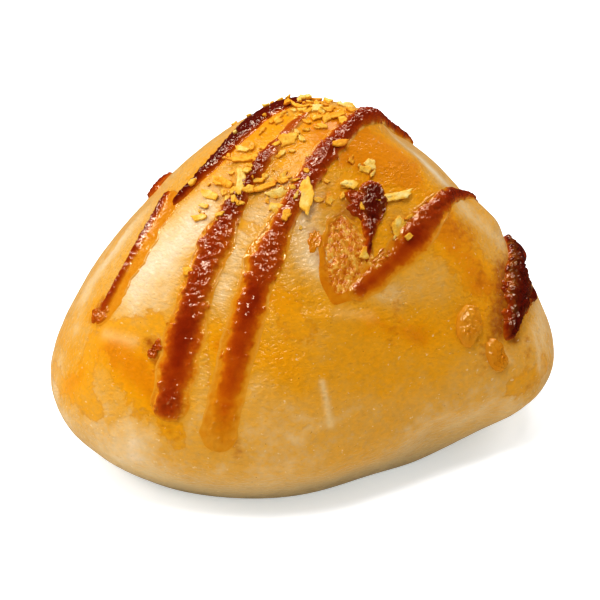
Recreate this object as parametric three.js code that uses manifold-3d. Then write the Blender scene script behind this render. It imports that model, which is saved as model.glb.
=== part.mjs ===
// Tuna bun: a puffed bread roll with three blunt corners and a peak that leans back,
// a dark sauce drizzled over it in slanting passes and crisp golden flakes on its crown.
// Sauce and flakes are baked fast to the crust, so the whole bun is one body.
// Millimetres, +Z up. The origin is in the middle of the flat foot.

import * as THREE from "three";
import { ConvexGeometry } from "three/addons/geometries/ConvexGeometry.js";
import { mergeVertices } from "three/addons/utils/BufferGeometryUtils.js";
import Module from "manifold-3d";

const wasm = await Module();
wasm.setup();

// Bread: its sides spread from the flat foot up to the waist, where a dome takes over
const BUN_HEIGHT = 66.5;
const FOOT_RADIUS = 35.5;
const FOOT_SPREAD = 1.2; // how fast the sides spread above the foot, per millimetre of height
const DOME_RADIUS = 54.3; // the dome's, if it went on down to the foot
const DOME_STEEPNESS = 1.3; // 1 is a parabola, more gives steeper sides
const DOME_ROUNDNESS = 1.8; // 1 is a pointed peak, 2 a round one
const WAIST_SOFTNESS = 8; // the smaller, the rounder the waist
const PEAK_SHIFT = { x: 5, y: 13.5 }; // the peak stands right of and behind the foot's middle
const LEAN = 1.5; // above 1, most of the shift is near the peak

// Swellings that give the plan its blunt corners: how many, how deep as a share of the
// radius, where one points. They fade towards the peak.
const SWELLINGS = [
  { count: 2, depth: 0.138, at: 13.5 },
  { count: 3, depth: 0.048, at: 3 },
  { count: 5, depth: 0.023, at: 207 },
];
const SWELLING_FADE = 0.4;

// The right corner's foot is tucked in, with fuller sides above it
const TUCK = { at: -14.5, spread: 16.5, depth: 3.5, fullness: 0.44 };

const BREAD_SIDES = 64;
const BREAD_RINGS = 28;
const RING_CROWDING = 1.8; // above 1, the rings crowd towards the peak

// Drizzle: every pass lies near an upright plane that is turned by slant from +X and stands
// aside of the axis (plus is to the left). From a core point in that plane the pass runs
// over the arc from..to: 0 looks to its front end, 90 straight up, 180 to its back end.
// bow swings its middle aside, hook turns its back end aside, and slim is the share of it,
// at its back end, that is only a thin thread.
const CORE_HEIGHT = 22;
const BEAD_SIDES = 8;
const BEAD_STEPS = 20;
const END_LENGTH = 3.5; // a bead's rounded end
const HOOK_SHARE = 0.3; // the last part of a pass that hooks
const THREAD_GIRTH = 0.4; // of the bead's own width and height
const THREAD_START = 0.08; // share of a pass over which the bead turns into a thread
const PASS_SAMPLES = 60; // points along a pass that tell where its bead lies
const PASSES = [
  { slant: 76, aside: 31.5, bow: 0, hook: 0, from: 104, to: 150, width: 3.6, rise: 1, slim: 0 },
  { slant: 54.5, aside: 21.8, bow: -1.3, hook: 0, from: 15, to: 69, width: 4, rise: 1.1, slim: 0 },
  { slant: 45.1, aside: 14.9, bow: -2.4, hook: -4.6, from: 58, to: 110, width: 6, rise: 1.2, slim: 0 },
  { slant: 59.9, aside: 1.7, bow: 3.2, hook: 0, from: 0, to: 104, width: 6.4, rise: 1.3, slim: 0.2 },
  { slant: 59.9, aside: -9.2, bow: 3.2, hook: 0, from: -6, to: 140, width: 6, rise: 1.3, slim: 0 },
  { slant: 84, aside: -17.2, bow: 0, hook: 0, from: 58, to: 88, width: 4.4, rise: 1.3, slim: 0 },
  { slant: 56.7, aside: -22.6, bow: -3.7, hook: 0, from: 58, to: 162, width: 5.6, rise: 0.8, slim: 0 },
  { slant: 85, aside: -45.8, bow: -1.5, hook: 0, from: 24, to: 152, width: 6.2, rise: 1.8, slim: 0 },
  { slant: 55, aside: 16, bow: 0, hook: 0, from: 120, to: 152, width: 3.8, rise: 1.3, slim: 0 },
];

// Flakes: the largest are placed one by one (middle, length, width, turn seen from above),
// the others are drawn at random round the heaps they fell in
const FLAKE_THICKNESS = 1.2;
const FLAKE_CORNERS = 5;
const FLAKE_SPREAD = 1.5; // of its own length and width, to make up for its cut-in corners
const FLAKE_LIFT = 0.25; // how far a flake's middle lies above the crust or the sauce
const SEED = 4711;
const LARGE_FLAKES = [
  { x: 0, y: 2.4, long: 4.2, wide: 3.3, turn: 20 },
  { x: -4, y: 1.3, long: 3.7, wide: 2, turn: 18 },
  { x: -8.5, y: 0, long: 5.7, wide: 1.7, turn: -5 },
  { x: -9.3, y: 2.8, long: 4.6, wide: 1.5, turn: -33 },
  { x: -12.8, y: -4, long: 4.9, wide: 2.1, turn: -35 },
  { x: -9.2, y: -5.3, long: 6.2, wide: 2, turn: -97 },
  { x: -4, y: -7, long: 4.7, wide: 2, turn: 16 },
  { x: -2.7, y: -8.8, long: 3.6, wide: 1.9, turn: 13 },
  { x: 3.1, y: -8.8, long: 7.2, wide: 2.5, turn: -86 },
  { x: -0.4, y: -13, long: 2.9, wide: 1.9, turn: 53 },
  { x: -17.8, y: -9.3, long: 2.9, wide: 1.8, turn: -8 },
  { x: -15.5, y: -5.7, long: 4.5, wide: 1.6, turn: -41 },
  { x: -19.5, y: -18.5, long: 3.7, wide: 2, turn: -36 },
  { x: 21.1, y: -4.3, long: 8, wide: 2, turn: 30 },
  { x: 21.7, y: -9.2, long: 5.5, wide: 2.8, turn: -109 },
  { x: 15.1, y: -15.8, long: 2.8, wide: 2, turn: -86 },
  { x: 8.3, y: -9.1, long: 2.4, wide: 1.9, turn: -84 },
  { x: 2, y: 13.1, long: 4.4, wide: 2, turn: -47 },
  { x: 12.4, y: 15.5, long: 5.4, wide: 2.2, turn: 63 },
  { x: 10.2, y: 10.4, long: 4.2, wide: 1.7, turn: 40 },
];
const HEAPS = [
  { x: 5, y: 11, spread: 6, count: 12 },
  { x: -12, y: -5, spread: 5, count: 7 },
  { x: -1, y: -5, spread: 5, count: 6 },
  { x: 2, y: 22, spread: 6, count: 8 },
  { x: 12, y: -3, spread: 5, count: 4 },
];
const SMALL_FLAKE = { shortest: 1.6, longest: 3, narrowest: 0.5, widest: 0.85 };

const DEGREE = Math.PI / 180;

// Seeded random draws between 0 and 1
let drawState = SEED;
function draw() {
  drawState = (drawState * 1664525 + 1013904223) % 4294967296;
  return drawState / 4294967296;
}

// How strongly the tuck acts in a direction seen from above
function tuckAt(angle) {
  const away = angle - TUCK.at * DEGREE;
  const reach = Math.atan2(Math.sin(away), Math.cos(away)) / (TUCK.spread * DEGREE);
  return Math.exp(-reach * reach);
}

// Radius of the level section at height z, in a direction seen from above
function sectionRadius(z, angle) {
  const rise = Math.min(1, Math.max(0, z / BUN_HEIGHT));
  const tuck = tuckAt(angle);
  const spread = FOOT_SPREAD * (1 + TUCK.fullness * tuck);
  const sides = FOOT_RADIUS - TUCK.depth * tuck + spread * rise * BUN_HEIGHT;
  const dome = DOME_RADIUS * (1 - rise ** DOME_STEEPNESS) ** (1 / DOME_ROUNDNESS);
  const radius = (sides ** -WAIST_SOFTNESS + dome ** -WAIST_SOFTNESS) ** (-1 / WAIST_SOFTNESS);
  let swell = 1;
  for (const { count, depth, at } of SWELLINGS) {
    swell += depth * Math.cos(count * (angle - at * DEGREE)) * (1 - SWELLING_FADE * rise);
  }
  return radius * swell;
}

// Middle of the level section at height z
function sectionMiddle(z) {
  const shift = Math.max(0, z / BUN_HEIGHT) ** LEAN;
  return { x: shift * PEAK_SHIFT.x, y: shift * PEAK_SHIFT.y };
}

// Whether a point lies outside the bread: plus outside, minus inside
function crustGap(point) {
  const middle = sectionMiddle(point.z);
  const dx = point.x - middle.x;
  const dy = point.y - middle.y;
  const angle = Math.atan2(dy, dx);
  return Math.hypot(dx, dy) - sectionRadius(point.z, angle);
}

// Point where a ray from inside the bread leaves it
function crustPoint(start, direction) {
  let inside = 0;
  let outside = 2 * DOME_RADIUS;
  for (let i = 0; i < 40; i += 1) {
    const half = (inside + outside) / 2;
    const probe = start.clone().addScaledVector(direction, half);
    const out = probe.z >= BUN_HEIGHT || probe.z <= 0 || crustGap(probe) > 0;
    if (out) {
      outside = half;
    } else {
      inside = half;
    }
  }
  return start.clone().addScaledVector(direction, inside);
}

// Direction that stands straight out of the crust at a point
function crustNormal(point) {
  const step = 0.2;
  const slopes = ["x", "y", "z"].map((axis) => {
    const ahead = point.clone();
    const behind = point.clone();
    ahead[axis] += step;
    behind[axis] -= step;
    return crustGap(ahead) - crustGap(behind);
  });
  return new THREE.Vector3(...slopes).normalize();
}

// Bread: a ball whose rings become the level sections from the peak down to the flat foot
function breadGeometry() {
  const geometry = new THREE.SphereGeometry(1, BREAD_SIDES, BREAD_RINGS + 1);
  const corners = geometry.getAttribute("position");
  for (let i = 0; i < corners.count; i += 1) {
    const ring = Math.floor(i / (BREAD_SIDES + 1));
    const angle = ((i % (BREAD_SIDES + 1)) / BREAD_SIDES + 0.5) * 360 * DEGREE;
    const z = BUN_HEIGHT * (1 - Math.min(1, ring / BREAD_RINGS) ** RING_CROWDING);
    const middle = sectionMiddle(z);
    const radius = ring === 0 || ring > BREAD_RINGS ? 0 : sectionRadius(z, angle);
    corners.setXYZ(i, middle.x + radius * Math.cos(angle), middle.y + radius * Math.sin(angle), z);
  }
  return geometry;
}

// Point of a drizzle pass on the crust, share 0 at its front end and 1 at its back end
function passPoint(pass, share) {
  const turn = pass.slant * DEGREE;
  const hooked = Math.max(0, (share - 1 + HOOK_SHARE) / HOOK_SHARE);
  const aside = pass.aside + pass.bow * Math.sin(Math.PI * share) + pass.hook * hooked * hooked;
  const arc = (pass.from + (pass.to - pass.from) * share) * DEGREE;
  const core = new THREE.Vector3(-Math.sin(turn) * aside, Math.cos(turn) * aside, CORE_HEIGHT);
  const run = -Math.cos(arc);
  const direction = new THREE.Vector3(Math.cos(turn) * run, Math.sin(turn) * run, Math.sin(arc));
  return crustPoint(core, direction);
}

// Share of its full girth that a bead keeps where it may be only a thread
function threadGirth(pass, share) {
  const past = Math.max(0, share - 1 + pass.slim) / THREAD_START;
  return pass.slim > 0 ? 1 - (1 - THREAD_GIRTH) * Math.min(1, past) : 1;
}

// Rough length of a pass
function passLength(pass) {
  return passPoint(pass, 0).distanceTo(passPoint(pass, 0.5)) * 2;
}

// Share of its full girth that a bead has: it is rounded off at both ends
function beadGirth(pass, share, length) {
  const fromEnd = Math.min(1, (Math.min(share, 1 - share) * length) / END_LENGTH);
  return Math.sqrt(1 - (1 - fromEnd) ** 2) * threadGirth(pass, share);
}

// Bead of sauce along one pass: a ball drawn out, half sunk in the crust
function beadGeometry(pass) {
  const geometry = new THREE.SphereGeometry(1, BEAD_SIDES, BEAD_STEPS);
  const corners = geometry.getAttribute("position");
  const length = passLength(pass);
  for (let i = 0; i < corners.count; i += 1) {
    const step = Math.floor(i / (BEAD_SIDES + 1)) / BEAD_STEPS;
    const share = (1 - Math.cos(step * 180 * DEGREE)) / 2; // steps crowd at both ends
    const around = Math.atan2(corners.getZ(i), corners.getX(i));
    const girth = beadGirth(pass, share, length);
    const middle = passPoint(pass, share);
    const normal = crustNormal(middle);
    const ahead = passPoint(pass, Math.min(1, share + 0.01));
    const behind = passPoint(pass, Math.max(0, share - 0.01));
    const side = normal.clone().cross(ahead.sub(behind)).normalize();
    middle.addScaledVector(side, (pass.width / 2) * girth * Math.cos(around));
    middle.addScaledVector(normal, pass.rise * girth * Math.sin(around));
    corners.setXYZ(i, middle.x, middle.y, middle.z);
  }
  return geometry;
}

// Points along all the passes, each with the bead's half width and height there
function passSpots() {
  const spots = [];
  for (const pass of PASSES) {
    const length = passLength(pass);
    for (let i = 1; i < PASS_SAMPLES; i += 1) {
      const share = i / PASS_SAMPLES;
      const girth = beadGirth(pass, share, length);
      const middle = passPoint(pass, share);
      spots.push({ middle, half: (pass.width / 2) * girth, rise: pass.rise * girth });
    }
  }
  return spots;
}

// How high the sauce stands over a point of the crust
function sauceRise(point, spots) {
  let highest = 0;
  for (const { middle, half, rise } of spots) {
    const away = Math.min(1, middle.distanceTo(point) / half);
    highest = Math.max(highest, rise * Math.sqrt(1 - away * away));
  }
  return highest;
}

// Flake: a flat crumb with ragged corners, lying on the crust or on the sauce, at a spot
// given as seen from above
function flakeGeometry({ x, y, long, wide, turn }, spots) {
  const below = new THREE.Vector3(x, y, CORE_HEIGHT);
  const middle = crustPoint(below, new THREE.Vector3(0, 0, 1));
  const normal = crustNormal(middle);
  const lift = FLAKE_LIFT + sauceRise(middle, spots);
  const heading = new THREE.Vector3(Math.cos(turn * DEGREE), Math.sin(turn * DEGREE), 0);
  const side = normal.clone().cross(heading).normalize();
  const ahead = side.clone().cross(normal);
  const points = [];
  for (let corner = 0; corner < FLAKE_CORNERS; corner += 1) {
    const around = ((corner + 0.6 * draw()) / FLAKE_CORNERS) * 360 * DEGREE;
    const reach = FLAKE_SPREAD * (0.7 + 0.3 * draw());
    for (const face of [-1, 1]) {
      const height = lift + face * FLAKE_THICKNESS * (0.35 + 0.3 * draw());
      const point = middle.clone();
      point.addScaledVector(ahead, (long / 2) * reach * Math.cos(around));
      point.addScaledVector(side, (wide / 2) * reach * Math.sin(around));
      point.addScaledVector(normal, height);
      points.push(point);
    }
  }
  return new ConvexGeometry(points);
}

// The small flakes of all heaps, strewn round their middles
function strewnFlakes() {
  const flakes = [];
  for (const { x, y, spread, count } of HEAPS) {
    for (let i = 0; i < count; i += 1) {
      const away = spread * Math.sqrt(-Math.log(1 - draw()));
      const towards = draw() * 360 * DEGREE;
      const long = SMALL_FLAKE.shortest + (SMALL_FLAKE.longest - SMALL_FLAKE.shortest) * draw();
      const wide = long * (SMALL_FLAKE.narrowest + (SMALL_FLAKE.widest - SMALL_FLAKE.narrowest) * draw());
      const turn = draw() * 360;
      const spot = { x: x + away * Math.cos(towards), y: y + away * Math.sin(towards) };
      flakes.push({ ...spot, long, wide, turn });
    }
  }
  return flakes;
}

// Closed solid of a geometry, for joining
function toSolid(geometry) {
  const plain = geometry.clone();
  plain.deleteAttribute("normal");
  plain.deleteAttribute("uv");
  const merged = mergeVertices(plain, 1e-4);
  const mesh = new wasm.Mesh({
    numProp: 3,
    vertProperties: new Float32Array(merged.getAttribute("position").array),
    triVerts: new Uint32Array(merged.getIndex().array),
  });
  return new wasm.Manifold(mesh);
}

// The largest body of a joined solid: loose scraps drop off and sealed hollows are filled
function largestBody(solid) {
  const bodies = solid.decompose();
  bodies.sort((a, b) => b.volume() - a.volume());
  return bodies[0];
}

// Mesh geometry of a joined solid
function toGeometry(solid) {
  const { vertProperties, triVerts } = solid.getMesh();
  const geometry = new THREE.BufferGeometry();
  geometry.setAttribute("position", new THREE.BufferAttribute(vertProperties, 3));
  geometry.setIndex(new THREE.BufferAttribute(triVerts, 1));
  geometry.computeVertexNormals();
  return geometry;
}

// The whole bun: bread with its beads and flakes joined on
function bunGeometry() {
  let bun = toSolid(breadGeometry());
  for (const pass of PASSES) {
    bun = bun.add(toSolid(beadGeometry(pass)));
  }
  const spots = passSpots();
  for (const flake of [...LARGE_FLAKES, ...strewnFlakes()]) {
    bun = bun.add(toSolid(flakeGeometry(flake, spots)));
  }
  return toGeometry(largestBody(bun));
}

const crust = new THREE.MeshStandardMaterial({
  name: "crust",
  color: 0xd9963f,
  roughness: 0.4,
  metalness: 0,
});

const bun = new THREE.Mesh(bunGeometry(), crust);
bun.name = "bun";

const part = new THREE.Group();
part.name = "tuna_bun";
part.add(bun);

export default part;
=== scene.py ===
"""Looks of the tuna bun: glazed crust, drizzled sauce and crisp golden flakes.

The shapes repeat the driving sizes of the part's source. Sizes are millimetres here and turn
into metres where a mesh is made. Places given by a pixel are spots of the crust that the
camera sees at that pixel of the 600 x 600 photograph.
"""

import math

import bpy
import numpy as np
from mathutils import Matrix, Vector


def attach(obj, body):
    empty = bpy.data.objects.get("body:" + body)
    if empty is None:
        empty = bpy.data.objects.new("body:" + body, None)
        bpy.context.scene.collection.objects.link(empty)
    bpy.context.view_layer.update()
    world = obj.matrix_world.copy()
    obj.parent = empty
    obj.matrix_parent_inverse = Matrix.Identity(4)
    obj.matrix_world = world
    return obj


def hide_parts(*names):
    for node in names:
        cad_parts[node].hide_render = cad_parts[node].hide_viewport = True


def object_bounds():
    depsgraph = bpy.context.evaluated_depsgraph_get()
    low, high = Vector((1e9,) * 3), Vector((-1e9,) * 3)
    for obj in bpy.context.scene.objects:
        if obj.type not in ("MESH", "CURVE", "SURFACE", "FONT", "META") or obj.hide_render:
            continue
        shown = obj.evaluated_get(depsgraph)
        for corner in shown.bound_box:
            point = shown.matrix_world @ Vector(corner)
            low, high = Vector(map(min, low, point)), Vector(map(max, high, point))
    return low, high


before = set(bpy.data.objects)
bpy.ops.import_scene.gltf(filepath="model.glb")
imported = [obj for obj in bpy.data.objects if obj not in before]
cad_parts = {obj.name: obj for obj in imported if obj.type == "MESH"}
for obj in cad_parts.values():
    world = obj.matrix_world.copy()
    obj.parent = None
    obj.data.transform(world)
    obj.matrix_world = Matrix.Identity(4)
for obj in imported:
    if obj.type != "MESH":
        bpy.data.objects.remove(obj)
cad_low, cad_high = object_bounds()

METRES = 0.001  # one millimetre

# Soft studio light, in metres and watts. The floor is lit past white, so a colour returns less
# light than it would on a grey card. Lamps: name, place, size, power, and whether the lamp shows
# in the glaze and the sauce.
WORLD_STRENGTH = 0.04
FLOOR_HALF = 3.0
FLOOR_LOOK = {
    "Base Color": (0.93, 0.94, 0.97, 1),
    "Roughness": 0.9,
    "Specular IOR Level": 0.1,
    "Emission Color": (0.8, 0.92, 1, 1),
    "Emission Strength": 0.37,
}
COLOUR_SHARE = 0.77
LIGHTS = [
    ("left", (-0.55, -0.05, 0.4), 0.3, 1.4, False),
    ("front left", (-0.35, -0.4, 0.6), 0.3, 0.5, False),
    ("right", (0.55, 0.0, 0.5), 0.4, 0.5, False),
    ("front", (0.05, -0.65, 0.5), 0.5, 0.85, False),
    ("back left", (-0.5, 0.35, 0.35), 0.3, 0.8, False),
    ("back right", (0.5, 0.4, 0.4), 0.3, 1.2, False),
    ("back", (0.2, 0.5, 0.6), 0.2, 1.0, True),
    ("window", (-0.45, 0.3, 0.6), 0.2, 1.4, True),
    ("sky", (0.0, 0.1, 0.9), 0.2, 1.6, True),
    ("sky right", (0.3, 0.0, 0.85), 0.09, 0.45, True),
    ("key", (-0.12, -0.22, 0.82), 0.2, 2.2, True),
]

# Camera of the photograph
CAMERA_TILT = 30  # degrees that it looks down
CAMERA_DISTANCE = 420
CAMERA_TARGET = np.array([2.3, 0.0, 27.9])
PHOTO_SIZE = 600  # pixels
LENS = 119.6
SENSOR = 36

# Bread, as in the part's source
BUN_HEIGHT = 66.5
FOOT_RADIUS = 35.5
FOOT_SPREAD = 1.2
DOME_RADIUS = 54.3
DOME_STEEPNESS = 1.3
DOME_ROUNDNESS = 1.8
WAIST_SOFTNESS = 8
PEAK_SHIFT = np.array([5, 13.5])
LEAN = 1.5
SWELLINGS = [(2, 0.138, 13.5), (3, 0.048, 3), (5, 0.023, 207)]  # count, depth, direction
SWELLING_FADE = 0.4
TUCK = {"at": -14.5, "spread": 16.5, "depth": 3.5, "fullness": 0.44}
CORE_HEIGHT = 22

CRUST_SIDES = 400
CRUST_RINGS = 228
FOOT_RINGS = 8
RING_CROWDING = 1.8
HALVINGS = 34  # steps that close in on the point where a ray leaves the bread
NORMAL_STEP = 0.2
PROBE_REACH = 90  # how far before and behind the camera's target a pixel's ray is searched
PROBE_STEP = 0.25
NOISE_TABLE = 8192  # random values of a noise
NOISE_KEYS = np.array([73856093, 19349663, 83492791])

# Waves, wherever they are listed: how far apart, how strong, seed or step to add to a seed
CRUST_WAVES = [(26, 0.5, 11), (11, 0.28, 12), (4.5, 0.1, 13), (2.0, 0.035, 14)]
FLAT_FOOT = 4  # up to this height the waves and folds of the crust fade in

# Folds and hollows of the crust from pixel to pixel: reach and depth, minus is a hollow
FOLDS = [
    (398, 290, 428, 345, 2.4, -0.8), (300, 262, 318, 322, 1.6, -0.35), (312, 318, 370, 322, 1.4, 0.45),
    (322, 385, 330, 425, 0.7, 0.12), (505, 345, 500, 400, 3, -0.5), (528, 330, 535, 375, 1.5, 0.4),
    (408, 136, 466, 192, 8, -1.9), (478, 206, 488, 220, 4.5, 1.8), (362, 117, 374, 117, 4, 1),
    (440, 440, 486, 424, 6, -2.6),
]

# Drizzle passes, as in the part's source
PASS_KEYS = ("slant", "aside", "bow", "hook", "from", "to", "width", "rise", "slim")
PASS_SIZES = [
    (76, 31.5, 0, 0, 104, 150, 3.6, 1, 0),
    (54.5, 21.8, -1.3, 0, 15, 69, 4, 1.1, 0),
    (45.1, 14.9, -2.4, -4.6, 58, 110, 6, 1.2, 0),
    (59.9, 1.7, 3.2, 0, 0, 104, 6.4, 1.3, 0.2),
    (59.9, -9.2, 3.2, 0, -6, 140, 6, 1.3, 0),
    (84, -17.2, 0, 0, 58, 88, 4.4, 1.3, 0),
    (56.7, -22.6, -3.7, 0, 58, 162, 5.6, 0.8, 0),
    (85, -45.8, -1.5, 0, 24, 152, 6.2, 1.8, 0),
    (55, 16, 0, 0, 120, 152, 3.8, 1.3, 0),
]
PASSES = [dict(zip(PASS_KEYS, sizes)) for sizes in PASS_SIZES]
END_LENGTH = 3.5
HOOK_SHARE = 0.3
THREAD_GIRTH = 0.4
THREAD_START = 0.08

# Looks of the sauce, pass by pass: how wide its clear film runs out to the left and right of
# the bead, up to which share of the pass, from its front end, it is clear and smooth, up to
# which share it is thinned out, where across the bead it is burnt darkest (1 is its left edge),
# how wide that dark part is, how frothy its film is, how deep its colour is, how strong the pale
# rim of its film is, how crumpled it is, from which share on it has hardly any film, and the
# girth of the bead at shares along the pass
LOOK_KEYS = (
    "left", "right", "clear", "thin", "lean", "dark", "froth", "deep", "rim", "crumple", "bare",
    "girths",
)
LOOK_SIZES = [
    (0.4, 0.6, 0, 0, 0, 1.5, 0, 1.2, 0, 1, 2, ((0, 1), (1, 1))),
    (0.3, 3.2, 0, 0.1, 0.3, 0.8, 0.1, 1, 1, 0.5, 2, ((0, 0.6), (0.3, 0.45), (1, 0.4))),
    (0.1, 0.2, 0, 0, 0.1, 1.6, 0, 1.9, 0, 0.7, 2,
     ((0, 0.2), (0.25, 0.4), (0.45, 0.6), (0.6, 0.9), (0.75, 1.15), (1, 1.1))),
    (0.9, 0.8, 0.28, 0, 0.35, 0.85, 0.3, 1.0, 1, 1, 0.55,
     ((0, 1.2), (0.12, 1.18), (0.22, 1.05), (0.35, 0.95), (0.45, 0.88), (0.6, 0.78), (0.7, 0.55),
      (1, 0.42))),
    (1.3, 0.8, 0.38, 0.16, 0.3, 1.1, 0.1, 0.86, 1, 1, 0.45,
     ((0, 0.8), (0.1, 0.88), (0.21, 1), (0.32, 0.96), (0.43, 0.92), (0.5, 0.72), (0.7, 0.66), (1, 0.7))),
    (0.1, 0.1, 0, 0.2, 0, 1.2, 0.3, 1.7, 0, 1.3, 2,
     ((0, 0.2), (0.3, 0.3), (0.55, 0.9), (0.8, 1.5), (1, 1.5))),
    (0.9, 0.9, 0.5, 0.05, 0.2, 0.9, 0.2, 0.85, 0.4, 1, 0.55,
     ((0, 0.5), (0.2, 0.8), (0.45, 1), (0.58, 0.85), (0.65, 0.62), (0.75, 0.5), (1, 0.45))),
    (0.3, 0.3, 0, 0, 0, 2.2, 0.5, 2.4, 0, 1.5, 2,
     ((0, 0.4), (0.08, 0.6), (0.16, 0.7), (0.25, 0.55), (0.31, 0.6), (0.37, 1.1), (0.46, 1.5),
      (0.62, 1.4), (0.7, 0.95), (0.78, 0.75), (0.88, 1), (1, 1))),
    (0.8, 0.8, 0, 0, 0, 1.0, 0.2, 1, 0.5, 1, 2, ((0, 0.8), (1, 0.8))),
]
LOOKS = [dict(zip(LOOK_KEYS, sizes)) for sizes in LOOK_SIZES]
SAUCE_SEED = 100
POOL_SEED = 300
SEED_STEP = 10
ROW_LENGTH = 0.3
SAUCE_COLUMNS = 37
UNDER_COLUMNS = (SAUCE_COLUMNS - 2, SAUCE_COLUMNS * 3 // 4, SAUCE_COLUMNS // 2, SAUCE_COLUMNS // 4, 1)
PASS_SAMPLES = 240  # points that a pass is measured by
LINE_SAMPLES = 120  # points that tell where a bead lies
TIP_GIRTH = 0.02  # of a bead's girth that is left at its very ends
SUNK = 0.5  # how deep the underside of the sauce lies in the crust
TIP_DEPTH = 0.6  # the same in the middle of a pool
LEAST_HEIGHT = 0.02

# Waves of the bead's width, of its films to the left and right and of its frayed edge, and the
# creases of its baked skin
WIDTH_WAVES = [(7, 0.16, 0), (2.5, 0.12, 9)]
LEFT_WAVES = [(1.5, 0.2, 12), (5, 0.4, 1)]
RIGHT_WAVES = [(1.5, 0.2, 12), (5, 0.4, 2)]
FRAY_WAVES = [(1.2, 0.16, 3), (0.5, 0.1, 7)]
FRAY_GROWTH = 1.4  # how much more a crumpled bead is frayed
CREASES = [(1.4, 0.45, 0), (0.75, 0.4, 1), (0.42, 0.25, 2)]
CREASE_SHARPNESS = 3
CREASE_RISE = 0.34
CREASE_EDGE = 0.3  # share of the creases that is left at the bead's edge

# Form across the bead: its dome, its film, the film's rim (millimetres in from the edge) and a
# row of small drops on its clear part (1 is the bead's left edge). Gaps and drops: how far apart,
# levels of noise between which they fade, step to add to the seed
BEAD_FLATNESS = 2.4
BEAD_ROUNDNESS = 0.55
FILM_RISE = 0.12
FILM_EDGE = 0.3
CLEAR_FILM_EDGE = 0.6  # how much further in the film still rises where the sauce is clear
RIM_RISE = 0.16
RIM_AT = 0.3
RIM_WIDTH = 0.16
# the rim's pale line is a painted highlight
RIM_GLINT_WIDTH = 0.22  # width of the rim's pale line
RIM_GAPS = (2.5, -0.2, 0.2, 6)
RIDGE_RISE = 0.35
RIDGE_AT = 0.72
RIDGE_WIDTH = 0.14
RIDGE_DROPS = (0.9, -0.1, 0.5, 11)

# Form along the bead, in shares of its pass: where its clear part and its rim begin, where the
# painted highlights on wrinkles at the front end fade out, how slowly the clear part ends and the
# film gets lost
CLEAR_FRONT = (0.03, 0.1)
RIM_FRONT = (0.04, 0.12)
GLINT_WRINKLE_FRONT = (0.04, 0.1)
CLEAR_FADE = 0.8  # of the clear share
SOFT_END = 0.02
BARE_FADE = 0.12
# creases high enough to get painted highlights as pale wrinkles
GLINT_WRINKLE_LEVELS = (0.6, 0.95)  # of the creases that show as pale wrinkles
RIBBON_POWER = 0.35  # below 1, a thread of sauce stays wider than it is high
# Shares that get lost: of the film where it is bare, of the height where it is thin, of all where
# the sauce is clear
BARE_LOSS = 0.7
THIN_LOSS = 0.9
CLEAR_LOSS = {"film": 0.2, "rim": 0.8, "crease": 0.85, "rise": 0.4}

# Depth of the sauce's colour at the back, where clear sauce gathers below its crumpled part and
# where there is no film, how uneven it and the burnt parts are, and where the film is frothy
DEEP_BACK = (0.52, 0.68)
DEEPER = 0.5
GATHERED = {"before": 0.07, "width": 0.07, "deeper": 0.8}
RIMLESS_DEPTH = 0.45
DEPTH_WAVES = [(1.5, 0.14, 5)]
DEPTH_LEVEL = 0.9
BURNT_WAVES = [(4, 0.5, 8)]
BURNT_LEVEL = 0.8
BURNT_GAIN = 1.2
FROTH_EDGE = (0.2, 0.6)

# Pools, drops and lumps of sauce: middle, half sizes across and along the slope, turn, height,
# how flat the top is, how ragged the outline, how dark, how crumpled, how frothy inside its edge
POOL_KEYS = ("pixel", "across", "along", "turn", "rise", "flat", "ragged", "dark", "crumple", "froth")
POOL_SIZES = [
    ((346, 257), 5.2, 9, -12, 0.1, 1, 0.2, 0.2, 0.06, 1),
    ((382, 268), 4.6, 2.6, 35, 0.2, 1, 0.2, 0.5, 0.1, 0.7),
    ((357, 206), 2.2, 3, 20, 0.9, 0.8, 0.4, 0.9, 0.3, 0),
    ((314, 243), 1.4, 2.6, -20, 0.2, 0.8, 0.3, 0.2, 0.05, 0.4),
    ((469, 325), 3, 4.4, -25, 1.5, 1, 0.14, 0.08, 0.3, 0),
    ((497, 355), 2.4, 3.4, 5, 1.3, 0.9, 0.2, 0.12, 0.3, 0),
    ((519, 252), 2.4, 3.4, 10, 2.3, 0.6, 0.1, 1.6, 0.04, 0),
    ((528, 295), 0.9, 2.2, 5, 1.2, 0.6, 0.3, 1.5, 0.2, 0),
    ((505, 288), 1.6, 2.4, 0, 0.5, 0.9, 0.5, 1, 0.3, 0),
    ((510, 320), 1.5, 2.4, 10, 1.3, 0.6, 0.3, 1.2, 0.3, 0),
    ((156, 348), 1.5, 1.7, 0, 0.5, 0.7, 0.4, 0.6, 0.3, 0),
    ((102, 313), 2.2, 2.8, -20, 0.7, 0.8, 0.4, 0.55, 0.3, 0.3),
    ((151, 192), 0.9, 1.2, 0, 0.8, 0.5, 0.4, 0.8, 0.3, 0),
]
POOLS = [dict(zip(POOL_KEYS, sizes)) for sizes in POOL_SIZES]
POOL_RINGS = 30
POOL_SIDES = 90
POOL_WAVES = [(1 / 1.4, 1, 0), (1 / 3.5, 0.5, 1)]
POOL_ROUNDNESS = 0.7
POOL_RIM = {"at": 0.35, "width": 0.2}
# Smooth border round the froth and colour that has settled, both more to the lower left: level
# all round, gain to the left, gain downwards
POOL_BORDER = (0.6, 0.42, 0.56)
POOL_BORDER_MOST = 1.2
POOL_SETTLED = (0.5, 0.24, 0.3)
POOL_DEEPEST = 1.4
FROTH_FADE = {"from": 0.7, "to": 1.3, "past": 0.3}
FROTH_WAVES = [(2, 0.4, 7)]
FROTH_CREASE = 0.25
POOL_DEPTH_WAVES = [(1.2, 0.4, 5)]
POOL_BURNT = (2, 0.9)  # how fast a dark pool turns burnt, and how late
POOL_TIP_SHADE = 0.5

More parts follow.
